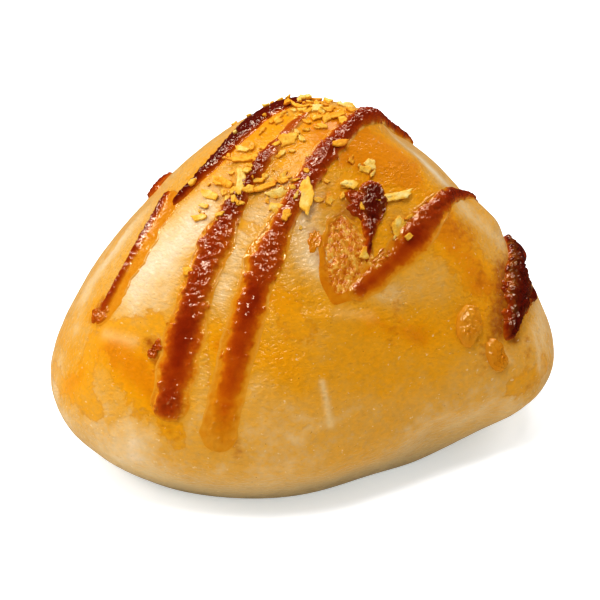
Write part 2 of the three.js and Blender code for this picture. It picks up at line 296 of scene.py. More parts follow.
# Flakes, as in the part's source
FLAKE_THICKNESS = 1.2
FLAKE_CORNERS = 5
FLAKE_LIFT = 0.25
SEED = 4711
LARGE_FLAKES = [
    (0, 2.4, 4.2, 3.3, 20), (-4, 1.3, 3.7, 2, 18), (-8.5, 0, 5.7, 1.7, -5), (-9.3, 2.8, 4.6, 1.5, -33),
    (-12.8, -4, 4.9, 2.1, -35), (-9.2, -5.3, 6.2, 2, -97), (-4, -7, 4.7, 2, 16),
    (-2.7, -8.8, 3.6, 1.9, 13), (3.1, -8.8, 7.2, 2.5, -86), (-0.4, -13, 2.9, 1.9, 53),
    (-17.8, -9.3, 2.9, 1.8, -8), (-15.5, -5.7, 4.5, 1.6, -41), (-19.5, -18.5, 3.7, 2, -36),
    (21.1, -4.3, 8, 2, 30), (21.7, -9.2, 5.5, 2.8, -109), (15.1, -15.8, 2.8, 2, -86),
    (8.3, -9.1, 2.4, 1.9, -84), (2, 13.1, 4.4, 2, -47), (12.4, 15.5, 5.4, 2.2, 63),
    (10.2, 10.4, 4.2, 1.7, 40),
]
HEAPS = [(5, 11, 6, 12), (-12, -5, 5, 7), (-1, -5, 5, 6), (2, 22, 6, 8), (12, -3, 5, 4)]
SMALL_FLAKE = {"shortest": 1.6, "longest": 3, "narrowest": 0.5, "widest": 0.85}
DRAW_FACTOR = 1664525
DRAW_STEP = 1013904223
DRAW_RANGE = 2 ** 32
CORNER_DRIFT = 0.6  # of the way to the next corner
CORNER_REACH = (0.7, 0.3)  # least, and how much more by chance
CORNER_HEIGHT = (0.35, 0.3)  # the same, of the thickness
FLAKE_SPREAD = 1.5

# Looks of the flakes: finer edges, thinness, and ranges of tilt, curl, roughness and tone
FLAKE_SEEDS = {"flakes": 31, "crumbs": 32}
EDGE_STEPS = 8
FLAKE_BENDS = 7
FLAKE_BEND = (0.7, 1.14)
EDGE_JITTER = (-0.1, 0.1)
FLAKE_THINNESS = 0.7
NARROW_THINNESS = 0.4  # of that, for a very narrow flake
FULL_WIDTH = 8
FLAKE_TILT = (-0.4, 0.4)
FLAKE_CURL = (-0.04, 0.14)
FLAKE_ROUGHNESS = (-0.2, 0.2)
FLAKE_TONE = (0.22, 0.78)
# painted light added to the middle of a flake's top
TIP_SHADE = 0.05
# Rings of a flake from its underside to its top: share of its reach and of its height, and how much
# paler it is painted there: painted shade below and at the fried brown edge, painted light on top
FLAKE_RINGS = ((0.6, -1.0), (0.97, -0.6), (1.0, 0.25), (0.92, 0.7), (0.72, 0.9), (0.45, 1.0), (0.2, 1.0))
FLAKE_PAINTED_SHADING = (-0.2, -0.2, -0.12, 0, 0.06, 0.1, 0.12)
CRUMB_HEAPS = [(4, 12, 7, 44), (-10, -3, 7, 30), (-1, -6, 6, 22), (2, 22, 8, 20), (14, -8, 8, 12)]
CRUMB = {"shortest": 0.5, "longest": 2.0, "narrowest": 0.35, "widest": 0.8}

# How dark the crust is baked: 0 is cream, 1 deep amber. Bands from pixel to pixel: reach, change.
# The pale bands along the outline at (402, 136), (84, 300) and (55, 385) are painted sheen on the edges
BAKE_BASE = 0.43
BAKE_AND_PAINTED_SHEEN_BANDS = [
    (130, 462, 390, 468, 7, -0.18), (420, 432, 505, 402, 6, -0.06), (430, 444, 514, 408, 3.5, -0.12),
    (70, 425, 140, 448, 5, -0.14), (138, 288, 200, 220, 6, -0.38),
    (218, 290, 255, 222, 3.2, -0.2), (270, 160, 330, 172, 4, 0.12), (248, 148, 330, 130, 6, 0.14),
    (345, 140, 398, 170, 6, 0.7), (418, 182, 442, 215, 3.5, 0.25), (335, 230, 400, 245, 5, 0.22),
    (440, 232, 482, 285, 5, 0.4), (375, 318, 412, 335, 3.6, 0.36), (280, 298, 350, 325, 6, 0.22),
    (220, 345, 285, 362, 4.5, 0.36), (112, 350, 152, 385, 4.2, 0.4), (68, 385, 80, 375, 3, 0.34),
    (92, 312, 100, 305, 3, 0.3), (62, 335, 72, 352, 2.4, 0.16), (530, 300, 542, 362, 4, -0.1),
    (402, 136, 456, 190, 2.6, -0.42), (455, 200, 500, 246, 3, -0.16), (55, 385, 82, 318, 2.4, -0.12),
    (84, 300, 135, 222, 2.8, -0.22), (430, 330, 475, 320, 5, 0.26), (280, 440, 400, 436, 5, -0.06),
    (300, 372, 430, 365, 6, 0.16), (294, 205, 320, 262, 4.4, -0.32), (372, 300, 440, 262, 4, -0.1),
    (370, 298, 394, 300, 3, -0.08), (444, 226, 468, 234, 3, 0.14), (112, 278, 132, 256, 3, 0.08),
    (205, 350, 212, 425, 2.2, -0.06),
]
# Ragged films of amber glaze on the crust, from pixel to pixel: reach and strength
FILMS = [
    (105, 336, 152, 328, 3, 1), (130, 362, 150, 392, 4.6, 1), (92, 345, 84, 390, 2.6, 1),
    (70, 384, 92, 408, 2.4, 1), (54, 368, 62, 386, 1.6, 1), (112, 250, 124, 230, 1.8, 1),
    (200, 176, 275, 124, 3, 1), (296, 166, 336, 122, 4, 1), (350, 150, 400, 146, 5, 1),
    (332, 200, 350, 182, 2.4, 1), (442, 236, 480, 276, 4.4, 1), (216, 330, 222, 440, 1.8, 1),
    (168, 424, 178, 438, 1.8, 1), (516, 388, 542, 366, 2, 1), (240, 224, 256, 232, 1.4, 1),
    (282, 300, 300, 330, 2.6, 1),
]
# Brown stains where sauce ran thin, from pixel to pixel: reach and strength. The mark at (448, 226) is
# painted shade, and the dark line at (408, 458) is the seam's own colour and painted shade in its crease
STAINS_AND_PAINTED_SHADE = [
    (502, 272, 498, 328, 2.8, 0.9), (448, 226, 466, 234, 3, 0.45), (484, 345, 480, 368, 1.6, 0.3),
    (490, 335, 500, 345, 1.6, 0.5), (312, 232, 322, 265, 1.4, 0.6), (340, 298, 378, 284, 1.6, 0.6),
    (168, 422, 178, 438, 1.8, 0.3), (226, 434, 238, 452, 1.8, 0.4), (150, 342, 162, 372, 1.2, 0.8),
    (104, 300, 94, 316, 1.4, 0.6), (354, 203, 336, 240, 2.4, 0.8), (508, 265, 512, 335, 1.8, 1),
    (526, 338, 526, 354, 0.8, 0.6), (543, 364, 526, 388, 0.8, 0.4), (400, 300, 390, 342, 0.9, 0.4),
    (479, 268, 479, 282, 1.4, 0.5), (466, 228, 474, 236, 1.2, 0.4), (408, 458, 440, 450, 0.6, 0.6),
]
# Bare pale scratches of the crust and painted highlights on it, from pixel to pixel: reach and
# strength. The marks at (338, 314) and (106, 334) are painted highlights
SCRATCHES_AND_PAINTED_HIGHLIGHTS = [
    (322, 382, 326, 400, 0.5, 1), (326, 400, 330, 425, 0.6, 0.9), (532, 334, 537, 368, 0.7, 1),
    (338, 314, 370, 316, 1, 0.25), (106, 334, 134, 342, 1, 0.5), (504, 350, 512, 362, 0.5, 0.6),
]
MARK_FALL = 0.7  # the less, the fuller a film, stain or scratch is within its reach
BAKE_WAVES = [(16, 0.07, 21), (6, 0.05, 22), (2.2, 0.05, 23)]
SAUCE_FRINGE = {"reach": 1.2, "tone": 0.14}
PALE_FOOT = (3, 15)  # heights between which the paler, greyer foot of the crust fades out
SEARCH_CHUNK = 8000  # points that are compared with the sauce at a time

# Colours as seen on screen. Stops of the crust go by how dark it is baked, those of the sauce by
# how thick it is, those of the foam by its bubbles, those of the flakes by their tone
BAKED_COLOURS = [
    (0.0, (247, 219, 180)), (0.22, (238, 196, 135)), (0.42, (228, 168, 72)), (0.62, (231, 160, 32)),
    (0.82, (237, 158, 6)), (1.0, (226, 138, 0)),
]
FOOT_COLOUR = (206, 174, 118)
FILM_EDGE_COLOUR = (200, 116, 8)
STAIN_AND_SHADE_COLOUR = (158, 70, 6)
FLECK_COLOUR = (252, 224, 176)
PINHOLE_COLOUR = (130, 74, 20)
SCRATCH_AND_HIGHLIGHT_COLOUR = (238, 198, 136)
CLEAR_COLOURS = [
    (0.0, (232, 160, 46)), (0.09, (224, 138, 14)), (0.22, (204, 100, 2)), (0.42, (177, 69, 2)),
    (0.6, (148, 44, 2)), (1.0, (112, 22, 0)),
]
BURNT_COLOURS = [
    (0.0, (206, 104, 10)), (0.27, (178, 76, 12)), (0.6, (156, 50, 6)), (1.0, (98, 18, 2)),
]
FOAM_COLOURS = [(0.34, (204, 98, 8)), (0.5, (236, 146, 32)), (0.66, (255, 196, 86))]
# painted highlight on the film's rim and on wrinkles at a bead's front end
PAINTED_GLINT_COLOUR = (253, 214, 140)
FLAKE_COLOURS = [
    (0.0, (226, 132, 20)), (0.3, (250, 172, 38)), (0.65, (255, 198, 72)), (1.0, (255, 226, 142)),
]

# Gloss of the materials, and the sockets for colours of a mix
CRUST_GLAZE = {
    "Roughness": 0.5,
    "Specular IOR Level": 0.03,
    "Coat Weight": 0.42,
    "Coat Roughness": 0.12,
    "Sheen Weight": 0.25,
    "Sheen Roughness": 0.4,
    "Sheen Tint": (1.0, 0.86, 0.62, 1),
}
SAUCE_GLOSS = {"Roughness": 0.06, "IOR": 1.75, "Specular Tint": (1.0, 0.86, 0.66, 1)}
FLAKE_GLOSS = {"Roughness": 0.5, "Specular IOR Level": 0.2}
GRAIN_STRETCH = (0.8, 0.8, 1.1)
MIX_FIRST = 6
MIX_SECOND = 7
MIX_RESULT = 2


def radians(degrees):
    return degrees * math.pi / 180


def unit(vectors):
    """The vectors at length one."""
    return vectors / np.maximum(np.linalg.norm(vectors, axis=-1, keepdims=True), 1e-9)


def smooth_step(low, high, values):
    """0 below low, 1 above high, with a soft rise between."""
    share = np.clip((values - low) / (high - low), 0, 1)
    return share * share * (3 - 2 * share)


def bell(values, at=0, width=1):
    """1 at a value, falling off on both sides of it over a width."""
    return np.exp(-((values - at) / width) ** 2)


def soft_noise(points, cell, seed):
    """Smooth noise between -1 and 1 that changes over about one cell."""
    table = np.random.default_rng(seed).uniform(-1, 1, NOISE_TABLE)
    grid = points / cell
    base = np.floor(grid).astype(np.int64)
    part = grid - base
    part = part * part * part * (part * (part * 6 - 15) + 10)
    total = np.zeros(points.shape[:-1])
    for corner in range(8):
        step = np.array([corner & 1, corner >> 1 & 1, corner >> 2 & 1])
        weight = np.prod(np.where(step == 1, part, 1 - part), axis=-1)
        key = (base + step) @ NOISE_KEYS
        total += weight * table[np.mod(key ^ (key >> 7), NOISE_TABLE)]
    return total


def noise_sum(points, waves, seed=0):
    """Sum of smooth noises, each given as cell, strength and step to add to the seed."""
    total = np.zeros(points.shape[:-1])
    for cell, strength, step in waves:
        total += strength * soft_noise(points, cell, seed + step)
    return total


def patches(points, cell, low, high, step, seed):
    """1 in soft-edged patches, 0 between them."""
    return smooth_step(low, high, soft_noise(points, cell, seed + step))


# Bread


def section_radius(heights, angles):
    """Radius of the level section at a height, in a direction seen from above."""
    rise = np.clip(heights / BUN_HEIGHT, 0, 1)
    away = angles - radians(TUCK["at"])
    reach = np.arctan2(np.sin(away), np.cos(away)) / radians(TUCK["spread"])
    tuck = bell(reach)
    spread = FOOT_SPREAD * (1 + TUCK["fullness"] * tuck)
    sides = FOOT_RADIUS - TUCK["depth"] * tuck + spread * rise * BUN_HEIGHT
    dome = DOME_RADIUS * np.maximum(1 - rise ** DOME_STEEPNESS, 1e-9) ** (1 / DOME_ROUNDNESS)
    radius = (sides ** -WAIST_SOFTNESS + dome ** -WAIST_SOFTNESS) ** (-1 / WAIST_SOFTNESS)
    swell = np.ones_like(radius)
    for count, depth, at in SWELLINGS:
        swell += depth * np.cos(count * (angles - radians(at))) * (1 - SWELLING_FADE * rise)
    return radius * swell


def section_middle(heights):
    """Middle of the level section at a height."""
    shift = np.maximum(0, heights / BUN_HEIGHT) ** LEAN
    return shift[..., None] * PEAK_SHIFT


def crust_gap(points):
    """Plus outside the bread, minus inside."""
    offset = points[..., :2] - section_middle(points[..., 2])
    angles = np.arctan2(offset[..., 1], offset[..., 0])
    return np.hypot(offset[..., 0], offset[..., 1]) - section_radius(points[..., 2], angles)


def is_past_ends(points):
    """Whether points lie above the peak or below the foot."""
    return (points[..., 2] >= BUN_HEIGHT) | (points[..., 2] <= 0)


def crust_points(starts, directions):
    """Points where rays from inside the bread leave it."""
    starts, directions = np.broadcast_arrays(starts, directions)
    inside = np.zeros(starts.shape[:-1])
    outside = np.full(starts.shape[:-1], 2.0 * DOME_RADIUS)
    for _ in range(HALVINGS):
        half = (inside + outside) / 2
        probes = starts + directions * half[..., None]
        out = is_past_ends(probes) | (crust_gap(probes) > 0)
        outside = np.where(out, half, outside)
        inside = np.where(out, inside, half)
    return starts + directions * inside[..., None]


def crust_normals(points):
    """Directions that stand straight out of the crust."""
    slopes = []
    for axis in range(3):
        shift = np.zeros(3)
        shift[axis] = NORMAL_STEP
        slopes.append(crust_gap(points + shift) - crust_gap(points - shift))
    return unit(np.stack(slopes, axis=-1))


def photo_spots(pixels):
    """Spots of the crust that the camera sees at pixels of the photograph."""
    tilt = radians(CAMERA_TILT)
    forward = np.array([0, math.cos(tilt), -math.sin(tilt)])
    up = np.array([0, math.sin(tilt), math.cos(tilt)])
    right = np.array([1.0, 0, 0])
    camera = CAMERA_TARGET - CAMERA_DISTANCE * forward
    offset = (np.asarray(pixels, float) - PHOTO_SIZE / 2) * SENSOR / LENS / PHOTO_SIZE
    rays = forward + offset[:, :1] * right - offset[:, 1:] * up
    steps = np.arange(CAMERA_DISTANCE - PROBE_REACH, CAMERA_DISTANCE + PROBE_REACH, PROBE_STEP)
    probes = camera + rays[:, None, :] * steps[None, :, None]
    gaps = np.where(is_past_ends(probes), np.inf, crust_gap(probes))
    first = np.argmax(gaps <= 0, axis=1)
    nearest = np.argmin(gaps, axis=1)
    hit = np.where(gaps.min(axis=1) <= 0, first, nearest)
    return camera + rays * steps[hit][:, None]


def segment_distance(points, start, end):
    """How far points are from the straight line between two spots."""
    run = end - start
    share = np.clip((points - start) @ run / max(run @ run, 1e-9), 0, 1)
    return np.linalg.norm(points - start - share[..., None] * run, axis=-1)


def mark_distances(points, marks):
    """For each mark from pixel to pixel: its strength, and how many reaches points are from it."""
    starts = photo_spots([mark[:2] for mark in marks])
    ends = photo_spots([mark[2:4] for mark in marks])
    for (*_, reach, strength), start, end in zip(marks, starts, ends):
        yield strength, segment_distance(points, start, end) / reach


def crust_relief(points):
    """How far the crust stands out of the plain bread form."""
    relief = noise_sum(points, CRUST_WAVES)
    for depth, away in mark_distances(points, FOLDS):
        relief += depth * bell(away)
    return relief * smooth_step(0, FLAT_FOOT, points[..., 2])


# Meshes


def make_piece(name, points, faces, values, material):
    """A piece of the bun from points in millimetres, riding on its one body."""
    mesh = bpy.data.meshes.new(name)
    mesh.from_pydata((points * METRES).tolist(), [], faces)
    for key, numbers in values.items():
        kind, field = ("FLOAT_VECTOR", "vector") if numbers.ndim == 2 else ("FLOAT", "value")
        layer = mesh.attributes.new(key, kind, "POINT")
        layer.data.foreach_set(field, numbers.astype(np.float32).ravel())
    mesh.polygons.foreach_set("use_smooth", [True] * len(mesh.polygons))
    mesh.materials.append(material)
    mesh.update()
    piece = bpy.data.objects.new(name, mesh)
    bpy.context.collection.objects.link(piece)
    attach(piece, "root")
    return piece


class Parts:
    """Closed bodies made of rings of points, joined into one piece."""

    def __init__(self):
        self.points = []
        self.faces = []
        self.values = {}
        self.count = 0

    def add_rings(self, rings, tips, values, tip_values, flip):
        """One body: rings of points, closed by a fan to a tip at the first and last ring.

        Rows and columns that values don't reach lie below the crust and get 0.
        """
        rows, columns = rings.shape[:2]
        grid = self.count + np.arange(rows * columns).reshape(rows, columns)
        after = np.roll(grid, -1, axis=1)
        first_tip = self.count + rows * columns
        quads = np.stack([grid[:-1], grid[1:], after[1:], after[:-1]], -1).reshape(-1, 4)
        start = np.stack([grid[0], after[0], np.full(columns, first_tip)], -1)
        end = np.stack([after[-1], grid[-1], np.full(columns, first_tip + 1)], -1)
        for faces in (quads, start, end):
            self.faces += (faces[:, ::-1] if flip else faces).tolist()
        self.points += [rings.reshape(-1, 3), tips]
        for key, numbers in values.items():
            filled = np.zeros((rows, columns))
            filled[:numbers.shape[0], :numbers.shape[1]] = numbers
            self.values.setdefault(key, []).append(np.append(filled, tip_values))
        self.count += rows * columns + 2

    def make(self, name, material):
        """The piece, with the values that its points carry."""
        values = {key: np.concatenate(made) for key, made in self.values.items()}
        return make_piece(name, np.concatenate(self.points), self.faces, values, material)


def pass_points(sauce_pass, shares):
    """Points of a drizzle pass on the crust, with the core points that they are seen from."""
    turn = radians(sauce_pass["slant"])
    hooked = np.maximum(0, (shares - 1 + HOOK_SHARE) / HOOK_SHARE)
    aside = sauce_pass["aside"] + sauce_pass["bow"] * np.sin(math.pi * shares)
    aside = aside + sauce_pass["hook"] * hooked * hooked
    arc = radians(sauce_pass["from"] + (sauce_pass["to"] - sauce_pass["from"]) * shares)
    core = np.stack([-math.sin(turn) * aside, math.cos(turn) * aside, 0 * aside + CORE_HEIGHT], -1)
    run = -np.cos(arc)
    direction = np.stack([math.cos(turn) * run, math.sin(turn) * run, np.sin(arc)], -1)
    return crust_points(core, direction), core


def even_shares(sauce_pass):
    """Shares along a pass whose points are evenly spaced, and its length."""
    shares = np.linspace(0, 1, PASS_SAMPLES)
    points, _ = pass_points(sauce_pass, shares)
    run = np.concatenate([[0], np.cumsum(np.linalg.norm(np.diff(points, axis=0), axis=1))])
    rows = int(run[-1] / ROW_LENGTH)
    return np.interp(np.linspace(0, run[-1], rows), run, shares), run[-1]


def thread_girth(sauce_pass, shares):
    """Share of its full girth that a bead has where it may be only a thread."""
    past = np.maximum(0, shares - 1 + sauce_pass["slim"]) / THREAD_START
    thread = 1 - (1 - THREAD_GIRTH) * np.minimum(1, past)
    return thread if sauce_pass["slim"] > 0 else np.ones_like(shares)


def end_girth(shares, length):
    """Share of its full girth that a bead has where it is rounded towards its ends."""
    from_end = np.minimum(1, np.minimum(shares, 1 - shares) * length / END_LENGTH)
    return np.sqrt(1 - (1 - from_end) ** 2) * (1 - TIP_GIRTH) + TIP_GIRTH


def sauce_lines():
    """Middle points of all the passes, each with the half width and height of its bead."""
    shares = np.linspace(0, 1, LINE_SAMPLES)
    lines = []
    for sauce_pass, look in zip(PASSES, LOOKS):
        points, _ = pass_points(sauce_pass, shares)
        length = np.linalg.norm(np.diff(points, axis=0), axis=1).sum()
        girth = thread_girth(sauce_pass, shares) * end_girth(shares, length)
        half = sauce_pass["width"] / 2 * girth * np.interp(shares, *zip(*look["girths"]))
        lines.append((points, half, sauce_pass["rise"] * girth))
    return [np.concatenate(made) for made in zip(*lines)]


def sauce_distance(points, middles, halves):
    """How far points are from the edge of the nearest bead."""
    nearest = np.empty(len(points))
    for start in range(0, len(points), SEARCH_CHUNK):
        chunk = slice(start, start + SEARCH_CHUNK)
        away = np.linalg.norm(points[chunk, None] - middles[None], axis=2) - halves
        nearest[chunk] = away.min(axis=1)
    return nearest


# Crust


def crust_tone(points, middles, halves):
    """How dark the crust is baked at points, paler along parts of its outline as painted sheen."""
    tone = BAKE_BASE + noise_sum(points, BAKE_WAVES)
    for change, away in mark_distances(points, BAKE_AND_PAINTED_SHEEN_BANDS):
        tone += change * bell(away)
    away = np.maximum(0, sauce_distance(points, middles, halves))
    return tone + SAUCE_FRINGE["tone"] * bell(away, 0, SAUCE_FRINGE["reach"])


def crust_marks(points, marks):
    """Strength of marks on the crust: full in their middle, falling to 0 outside them."""
    level = np.zeros(len(points))
    for strength, away in mark_distances(points, marks):
        level = np.maximum(level, strength * np.exp(-MARK_FALL * away * away))
    return level


def make_crust(material):
    """The glazed crust: level rings from the peak down to the foot, then inwards below it."""
    middles, halves, _ = sauce_lines()
    angles = np.arange(CRUST_SIDES) / CRUST_SIDES * 2 * math.pi
    shares = np.arange(1, CRUST_RINGS + 1) / CRUST_RINGS
    levels = BUN_HEIGHT * (1 - shares ** RING_CROWDING)
    heights, around = np.meshgrid(levels, angles, indexing="ij")
    radius = section_radius(heights, around)
    middle = section_middle(heights)
    ring = np.stack([np.cos(around), np.sin(around)], -1)
    wall = np.concatenate([middle + radius[..., None] * ring, heights[..., None]], -1)
    normals = crust_normals(wall)
    wall_out = wall + normals * crust_relief(wall)[..., None]
    foot = [wall_out[-1] * np.array([1 - i / FOOT_RINGS, 1 - i / FOOT_RINGS, 1])
            for i in range(1, FOOT_RINGS)]
    rings = np.concatenate([wall_out, np.stack(foot)])
    peak = np.array([[*PEAK_SHIFT, BUN_HEIGHT]])
    peak[:, 2] += crust_relief(peak)
    points = np.concatenate([rings.reshape(-1, 3), peak, [[0, 0, 0]]])
    slope = np.concatenate([[0], np.cumsum(np.linalg.norm(np.diff(wall[:, 0], axis=0), axis=1))])
    slope = np.concatenate([slope, np.full(FOOT_RINGS - 1, slope[-1])])
    grain = points.copy()
    grain[:-2, 2] = np.repeat(slope, CRUST_SIDES)
    values = {
        # the baked tone, with painted sheen along parts of the outline
        "bake_and_sheen": crust_tone(points, middles, halves),
        "film": crust_marks(points, FILMS),
        # stains, and painted shade at two of the marks
        "stain_and_shade": crust_marks(points, STAINS_AND_PAINTED_SHADE),
        # scratches, and painted highlights
        "bare": crust_marks(points, SCRATCHES_AND_PAINTED_HIGHLIGHTS),
        "rim": 1 - smooth_step(*PALE_FOOT, points[:, 2]),
        "grain": grain,
    }
    parts = Parts()
    parts.add_rings(rings, points[-2:], {}, (0, 0), False)
    piece = make_piece("crust", points, parts.faces, values, material)
    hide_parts("bun")


# Sauce


def crumpled(points, seed):
    """Sharp fine creases between about -1 and 1, as on a skin of baked sauce."""
    skin = np.zeros(points.shape[:-1])
    for cell, share, step in CREASES:
        skin += share * (1 - CREASE_SHARPNESS * np.abs(soft_noise(points, cell, seed + step)))
    return skin


class Bead:
    """One pass of sauce with its film, in rows across it, from its left edge to its right."""

    def __init__(self, sauce_pass, look, seed):
        self.sauce_pass = sauce_pass
        self.look = look
        self.seed = seed
        self.shares, length = even_shares(sauce_pass)
        self.girth = end_girth(self.shares, length)
        self.thread = thread_girth(sauce_pass, self.shares)
        baked = smooth_step(look["clear"] * CLEAR_FADE, look["clear"] + SOFT_END, self.shares)
        self.clear = (1 - baked) * smooth_step(*CLEAR_FRONT, self.shares)
        self.thin = 1 - smooth_step(0, look["thin"] + SOFT_END, self.shares) + 1 - self.thread
        self.place()
        self.swell()

    def sides(self, middle):
        """Half width of the bead along the pass, and the reach of its film to the left and right."""
        look = self.look
        ribbon = self.thread ** RIBBON_POWER
        girth = np.interp(self.shares, *zip(*look["girths"])) * ribbon
        uneven = 1 + noise_sum(middle, WIDTH_WAVES, self.seed)
        half = self.sauce_pass["width"] / 2 * girth * uneven
        bare = smooth_step(look["bare"], look["bare"] + BARE_FADE, self.shares)
        film = ribbon * (1 - CLEAR_LOSS["film"] * self.clear) * (1 - BARE_LOSS * bare)
        left = half + look["left"] * (1 + noise_sum(middle, LEFT_WAVES, self.seed)) * film
        right = half + look["right"] * (1 + noise_sum(middle, RIGHT_WAVES, self.seed)) * film
        return half, left, right

    def place(self):
        """Lay the rows on the crust, and tell how far in from bead and film edge they are."""
        middle, core = pass_points(self.sauce_pass, self.shares)
        side = unit(np.cross(crust_normals(middle), np.gradient(middle, axis=0)))
        half, left, right = self.sides(middle)
        spread = np.sin(np.linspace(1, -1, SAUCE_COLUMNS) * math.pi / 2)
        reach = np.where(spread > 0, left[:, None], right[:, None]) * self.girth[:, None]
        offset = spread * reach
        flat = middle[:, None] + side[:, None] * offset[..., None]
        self.surface = crust_points(core[:, None], unit(flat - core[:, None]))
        self.edge = (1 - np.abs(spread)) * reach
        fray = noise_sum(self.surface, FRAY_WAVES, self.seed)
        fray = 1 + fray * max(1, FRAY_GROWTH * self.look["crumple"])
        self.sideways = np.clip(offset / (half * self.girth)[:, None] * fray, -1, 1)
        self.dome = (1 - np.abs(self.sideways) ** BEAD_FLATNESS) ** BEAD_ROUNDNESS

    def swell(self):
        """Heights of bead and film, how strong the film's broken rim is, and the creases."""
        clear = self.clear[:, None]
        film = FILM_RISE * smooth_step(0, FILM_EDGE + CLEAR_FILM_EDGE * clear, self.edge)
        lower = (1 - THIN_LOSS * np.minimum(self.thin, 1)) * (1 - CLEAR_LOSS["rise"] * self.clear)
        soft = self.dome + clear * (1 - self.sideways ** 2 - self.dome)
        bead = self.sauce_pass["rise"] * soft * (lower * self.girth)[:, None]
        self.height = np.maximum(bead, film)
        along = (1 - CLEAR_LOSS["rim"] * self.clear) * smooth_step(*RIM_FRONT, self.shares)
        rim = patches(self.surface, *RIM_GAPS, self.seed) * self.look["rim"] * along[:, None]
        self.rim = rim * (1 - self.dome)
        self.creases = crumpled(self.surface, self.seed + 4)

    def rows(self):
        """Points of the rows, which are closed loops: over the sauce and back in the crust."""
        clear = self.clear[:, None]
        rim = RIM_RISE * bell(self.edge, RIM_AT, RIM_WIDTH) * self.rim
        drops = patches(self.surface, *RIDGE_DROPS, self.seed) * clear
        ridge = RIDGE_RISE * bell(self.sideways, RIDGE_AT, RIDGE_WIDTH) * drops
        crease = self.creases * (1 - CLEAR_LOSS["crease"] * clear)
        crease = crease * (CREASE_EDGE + (1 - CREASE_EDGE) * self.dome) * self.thread[:, None]
        height = self.height + rim + ridge + CREASE_RISE * self.look["crumple"] * crease
        outward = crust_normals(self.surface)
        relief = crust_relief(self.surface)
        top = self.surface + outward * (relief + np.maximum(height, LEAST_HEIGHT))[..., None]
        sunk = self.surface + outward * (relief - SUNK)[..., None]
        return np.concatenate([top, sunk[:, UNDER_COLUMNS]], axis=1)

    def looks(self):
        """How thick, burnt and frothy the sauce is at its points, and its painted highlights."""
        look = self.look
        gathered = bell(self.shares, look["clear"] - GATHERED["before"], GATHERED["width"])
        deeper = DEEPER * np.maximum(self.clear, smooth_step(*DEEP_BACK, self.shares))
        deeper = deeper + GATHERED["deeper"] * gathered * self.clear
        depth = look["deep"] * self.height / self.sauce_pass["rise"] * (1 + deeper)[:, None]
        depth = np.maximum(depth, RIMLESS_DEPTH * (look["rim"] == 0))
        baked = ((1 - self.clear) * (1 - self.thin))[:, None] * self.dome
        burn = baked * bell(self.sideways, look["lean"], look["dark"])
        patchy = BURNT_LEVEL + noise_sum(self.surface, BURNT_WAVES, self.seed)
        front = (1 - smooth_step(*GLINT_WRINKLE_FRONT, self.shares)) * (look["clear"] > 0)
        # painted highlights on the crests of the wrinkles near the front end
        wrinkles = front[:, None] * self.dome * smooth_step(*GLINT_WRINKLE_LEVELS, self.creases)
        return {
            "thick": depth * (DEPTH_LEVEL + noise_sum(self.surface, DEPTH_WAVES, self.seed)),
            "burn": np.clip(BURNT_GAIN * burn * patchy, 0, 1),
            # painted highlights: a pale line on the film's rim, and the wrinkles near the front end
            "painted_glint": bell(self.edge, RIM_AT, RIM_GLINT_WIDTH) * self.rim + wrinkles,
            "froth": look["froth"] * (1 - self.dome) * smooth_step(*FROTH_EDGE, self.edge),
        }


def to_lower_left(angles, level, left, down):
    """A level round a pool that rises to the left and downwards."""
    return level - left * np.cos(angles) - down * np.sin(angles)


